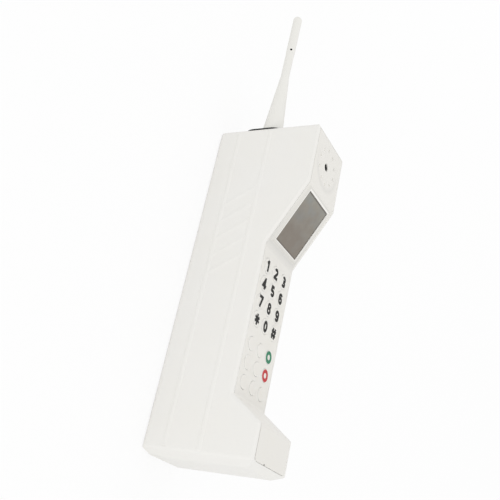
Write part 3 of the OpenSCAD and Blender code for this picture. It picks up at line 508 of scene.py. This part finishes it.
def arc(centre, radius, start, end, steps=14):
    """Points on an ellipse's arc, with angles in degrees."""
    points = []
    for i in range(steps + 1):
        angle = math.radians(start + (end - start) * i / steps)
        points.append((centre[0] + radius[0] * math.cos(angle), centre[1] + radius[1] * math.sin(angle)))
    return points


def turned(strokes):
    """The same strokes turned half round in their box."""
    return [[(-x, 1 - y) for x, y in stroke] for stroke in strokes]


# Middle lines of the digits' strokes in a box one unit high, centred across
HALF = (DIGIT_WIDTH - STROKE) / DIGIT_HEIGHT / 2
TOP = 1 - STROKE / DIGIT_HEIGHT / 2
BASE = STROKE / DIGIT_HEIGHT / 2
BOWL = (HALF, 0.215)
WAIST = 0.53
FINE_EDGE = FINE_STROKE / DIGIT_HEIGHT / 2
UPPER_RADIUS = (1 - FINE_EDGE - WAIST) / 2
LOWER_RADIUS = (WAIST - FINE_EDGE) / 2
FINE_GLYPHS = ("key_8", "key_star", "key_hash")
SIX = [arc((0, BASE + BOWL[1]), BOWL, 180, 540, 28),
       [(-HALF, 0.34)] + arc((0, 0.67), (HALF, TOP - 0.67), 180, 25)]
GLYPHS = {
    "key_0": [arc((0, 0.5), (HALF, TOP - 0.5), 0, 360, 32)],
    "key_1": [[(0.05, 0.0), (0.05, 1.0)], [(-0.20, 0.70), (0.05, 0.86)]],
    "key_2": [arc((0, 0.685), (HALF, TOP - 0.685), 165, -38) + [(-HALF, BASE)],
              [(-HALF - BASE, BASE), (HALF + BASE, BASE)]],
    "key_3": [arc((0, 0.71), (HALF * 0.92, TOP - 0.71), 155, -85)
              + arc((0, 0.29), (HALF, 0.29 - BASE), 85, -155)],
    "key_4": [[(0.10, 0.0), (0.10, 1.0)], [(0.10, 0.90), (-HALF, 0.29), (HALF + BASE, 0.29)]],
    "key_5": [[(HALF, TOP), (-HALF * 0.8, TOP), (-HALF, 0.54)]
              + arc((0, 0.33), (HALF, 0.33 - BASE), 125, -150)],
    "key_6": SIX,
    "key_7": [[(-HALF - BASE, TOP), (HALF + BASE, TOP)], [(HALF, TOP), (-0.07, 0.0)]],
    "key_8": [arc((0, WAIST + UPPER_RADIUS), (HALF * 0.9, UPPER_RADIUS), 0, 360, 28),
              arc((0, WAIST - LOWER_RADIUS), (HALF, LOWER_RADIUS), 0, 360, 28)],
    "key_9": turned(SIX),
    "key_star": [[(0, 0.04), (0, 0.96)], [(-0.36, 0.29), (0.36, 0.71)], [(-0.36, 0.71), (0.36, 0.29)]],
    "key_hash": [[(-0.24, 0.04), (-0.12, 0.96)], [(0.12, 0.04), (0.24, 0.96)],
                 [(-0.41, 0.33), (0.38, 0.33)], [(-0.38, 0.67), (0.41, 0.67)]]}


def ribbon(points, width, closed):
    """Left and right edges of a stroke of the given width, with mitred corners."""
    places = [Vector(point) for point in points]
    headings = [(after - before).normalized() for before, after in zip(places, places[1:])]
    if closed:
        headings = [headings[-1]] + headings + [headings[0]]
    else:
        headings = [headings[0]] + headings + [headings[-1]]
    left = []
    right = []
    for here, incoming, outgoing in zip(places, headings, headings[1:]):
        tangent = (incoming + outgoing).normalized()
        normal = Vector((-tangent.y, tangent.x))
        mitre = normal.dot(Vector((-incoming.y, incoming.x)))
        reach = width / 2 / max(MITRE_LIMIT, mitre)
        left.append(here + normal * reach)
        right.append(here - normal * reach)
    return left, right


def stroke_solid(name, points, width):
    """One printed stroke as a thin closed solid."""
    closed = (Vector(points[0]) - Vector(points[-1])).length < SAME_POINT
    left, right = ribbon(points, width, closed)
    count = len(points) - 1 if closed else len(points)
    made = bmesh.new()
    rows = []
    for i in range(count):
        corners = ((*left[i], 0), (*right[i], 0), (*right[i], PRINT_THICKNESS), (*left[i], PRINT_THICKNESS))
        rows.append([made.verts.new(corner) for corner in corners])
    steps = count if closed else count - 1
    for i in range(steps):
        here = rows[i]
        there = rows[(i + 1) % count]
        for side in range(4):
            after = (side + 1) % 4
            made.faces.new((here[side], here[after], there[after], there[side]))
    if not closed:
        made.faces.new(rows[0])
        made.faces.new(list(reversed(rows[-1])))
    bmesh.ops.recalc_face_normals(made, faces=made.faces)
    mesh = bpy.data.meshes.new(name)
    made.to_mesh(mesh)
    made.free()
    solid = bpy.data.objects.new(name, mesh)
    scene.collection.objects.link(solid)
    return solid


def joined(pieces):
    """Unites overlapping solids into the first one and removes the others."""
    first = pieces[0]
    for other in pieces[1:]:
        unite = first.modifiers.new("unite", "BOOLEAN")
        unite.operation = "UNION"
        unite.solver = "EXACT"
        unite.object = other
        bpy.context.view_layer.update()
        united = first.evaluated_get(bpy.context.evaluated_depsgraph_get())
        united_mesh = bpy.data.meshes.new_from_object(united)
        first.modifiers.clear()
        first.data = united_mesh
        bpy.data.objects.remove(other)
    return first


def key_top(node):
    """Middle of a key's top face."""
    low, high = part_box(node)
    return Vector(((low.x + high.x) / 2, (low.y + high.y) / 2, high.z))


def add_print(piece, node, material):
    """Lays a print on a key and lets it ride there."""
    piece.data.materials.clear()
    piece.data.materials.append(material)
    piece.location = key_top(node)
    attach(piece, node)


for node, strokes in GLYPHS.items():
    width = FINE_STROKE if node in FINE_GLYPHS else STROKE
    solids = []
    for i, stroke in enumerate(strokes):
        sized = [(x * DIGIT_HEIGHT, (y - 0.5) * DIGIT_HEIGHT) for x, y in stroke]
        solids.append(stroke_solid("print_%s_%d" % (node, i), sized, width))
    digit = joined(solids)
    digit.name = "print_" + node
    add_print(digit, node, ink_black)

circle = arc((0, 0), ((RING_OUTER + RING_INNER) / 2,) * 2, 0, 360, 48)
for node, material in (("key_f3", ink_green), ("key_f6", ink_red)):
    ring = stroke_solid("print_" + node, circle, RING_OUTER - RING_INNER)
    add_print(ring, node, material)


def background_rays(tree):
    """1 for rays by which the camera, a reflection or glass sees the background."""
    rays = tree.nodes.new("ShaderNodeLightPath")
    direct = tree.nodes.new("ShaderNodeMath")
    direct.operation = "MAXIMUM"
    tree.links.new(rays.outputs["Is Camera Ray"], direct.inputs[0])
    tree.links.new(rays.outputs["Is Transmission Ray"], direct.inputs[1])
    seen = tree.nodes.new("ShaderNodeMath")
    seen.operation = "MAXIMUM"
    tree.links.new(direct.outputs["Value"], seen.inputs[0])
    tree.links.new(rays.outputs["Is Glossy Ray"], seen.inputs[1])
    return seen.outputs["Value"]


def pale_floor():
    """A white floor that takes the object's shadow and shows white to the camera."""
    mesh = bpy.data.meshes.new("floor")
    half = FLOOR_SIZE / 2
    corners = [(x * half, y * half, -FLOOR_DROP) for x, y in ((-1, -1), (1, -1), (1, 1), (-1, 1))]
    mesh.from_pydata(corners, [], [(0, 1, 2, 3)])
    floor = bpy.data.objects.new("floor", mesh)
    scene.collection.objects.link(floor)
    shader = Shader("pale_floor")
    shader.main.inputs["Base Color"].default_value = FLOOR_COLOUR
    shader.main.inputs["Roughness"].default_value = FLOOR_ROUGH
    shader.main.inputs["Specular IOR Level"].default_value = 0.0
    white = shader.node("ShaderNodeEmission")
    mix = shader.node("ShaderNodeMixShader")
    shader.link(shader.calc("MULTIPLY", background_rays(shader.tree), FLOOR_SHARE), mix.inputs["Fac"])
    shader.link(shader.main.outputs["BSDF"], mix.inputs[1])
    shader.link(white.outputs["Emission"], mix.inputs[2])
    shader.link(mix.outputs["Shader"], shader.tree.nodes["Material Output"].inputs["Surface"])
    mesh.materials.append(shader.material)


def soft_world():
    """Even white light from all round, plain white where the camera, a reflection or glass sees it."""
    world = bpy.data.worlds.new("studio")
    scene.world = world
    world.use_nodes = True
    tree = world.node_tree
    lit = tree.nodes["Background"]
    shown = tree.nodes.new("ShaderNodeBackground")
    for light, strength in ((lit, WORLD_LIGHT), (shown, 1.0)):
        light.inputs["Color"].default_value = (1, 1, 1, 1)
        light.inputs["Strength"].default_value = strength
    mix = tree.nodes.new("ShaderNodeMixShader")
    tree.links.new(background_rays(tree), mix.inputs["Fac"])
    tree.links.new(lit.outputs["Background"], mix.inputs[1])
    tree.links.new(shown.outputs["Background"], mix.inputs[2])
    tree.links.new(mix.outputs["Shader"], tree.nodes["World Output"].inputs["Surface"])


def soft_box(name, place, watts):
    """A large lamp that faces the phone."""
    lamp = bpy.data.lights.new(name, "AREA")
    lamp.shape = "SQUARE"
    lamp.size = LAMP_SIZE
    lamp.energy = watts
    box = bpy.data.objects.new(name, lamp)
    box.location = place
    box.rotation_mode = "QUATERNION"
    box.rotation_quaternion = (-Vector(place)).to_track_quat("-Z", "Y")
    scene.collection.objects.link(box)


def photo_camera():
    """The camera at the photograph's place and angle."""
    camera = bpy.data.cameras.new("photo_camera")
    camera.lens = CAMERA_LENS
    camera.sensor_width = CAMERA_SENSOR
    camera.clip_start = CAMERA_NEAR
    camera.clip_end = CAMERA_FAR
    view = bpy.data.objects.new("photo_camera", camera)
    back = CAMERA_RIGHT.cross(CAMERA_UP)
    turn = Matrix((CAMERA_RIGHT, CAMERA_UP, back)).transposed()
    view.matrix_world = Matrix.Translation(CAMERA_PLACE) @ turn.to_4x4()
    scene.collection.objects.link(view)
    scene.camera = view


pale_floor()
soft_world()
soft_box("key_lamp", KEY_LAMP_PLACE, KEY_LAMP_WATTS)
soft_box("fill_lamp", FILL_LAMP_PLACE, FILL_LAMP_WATTS)
photo_camera()
scene.view_settings.view_transform = "Standard"
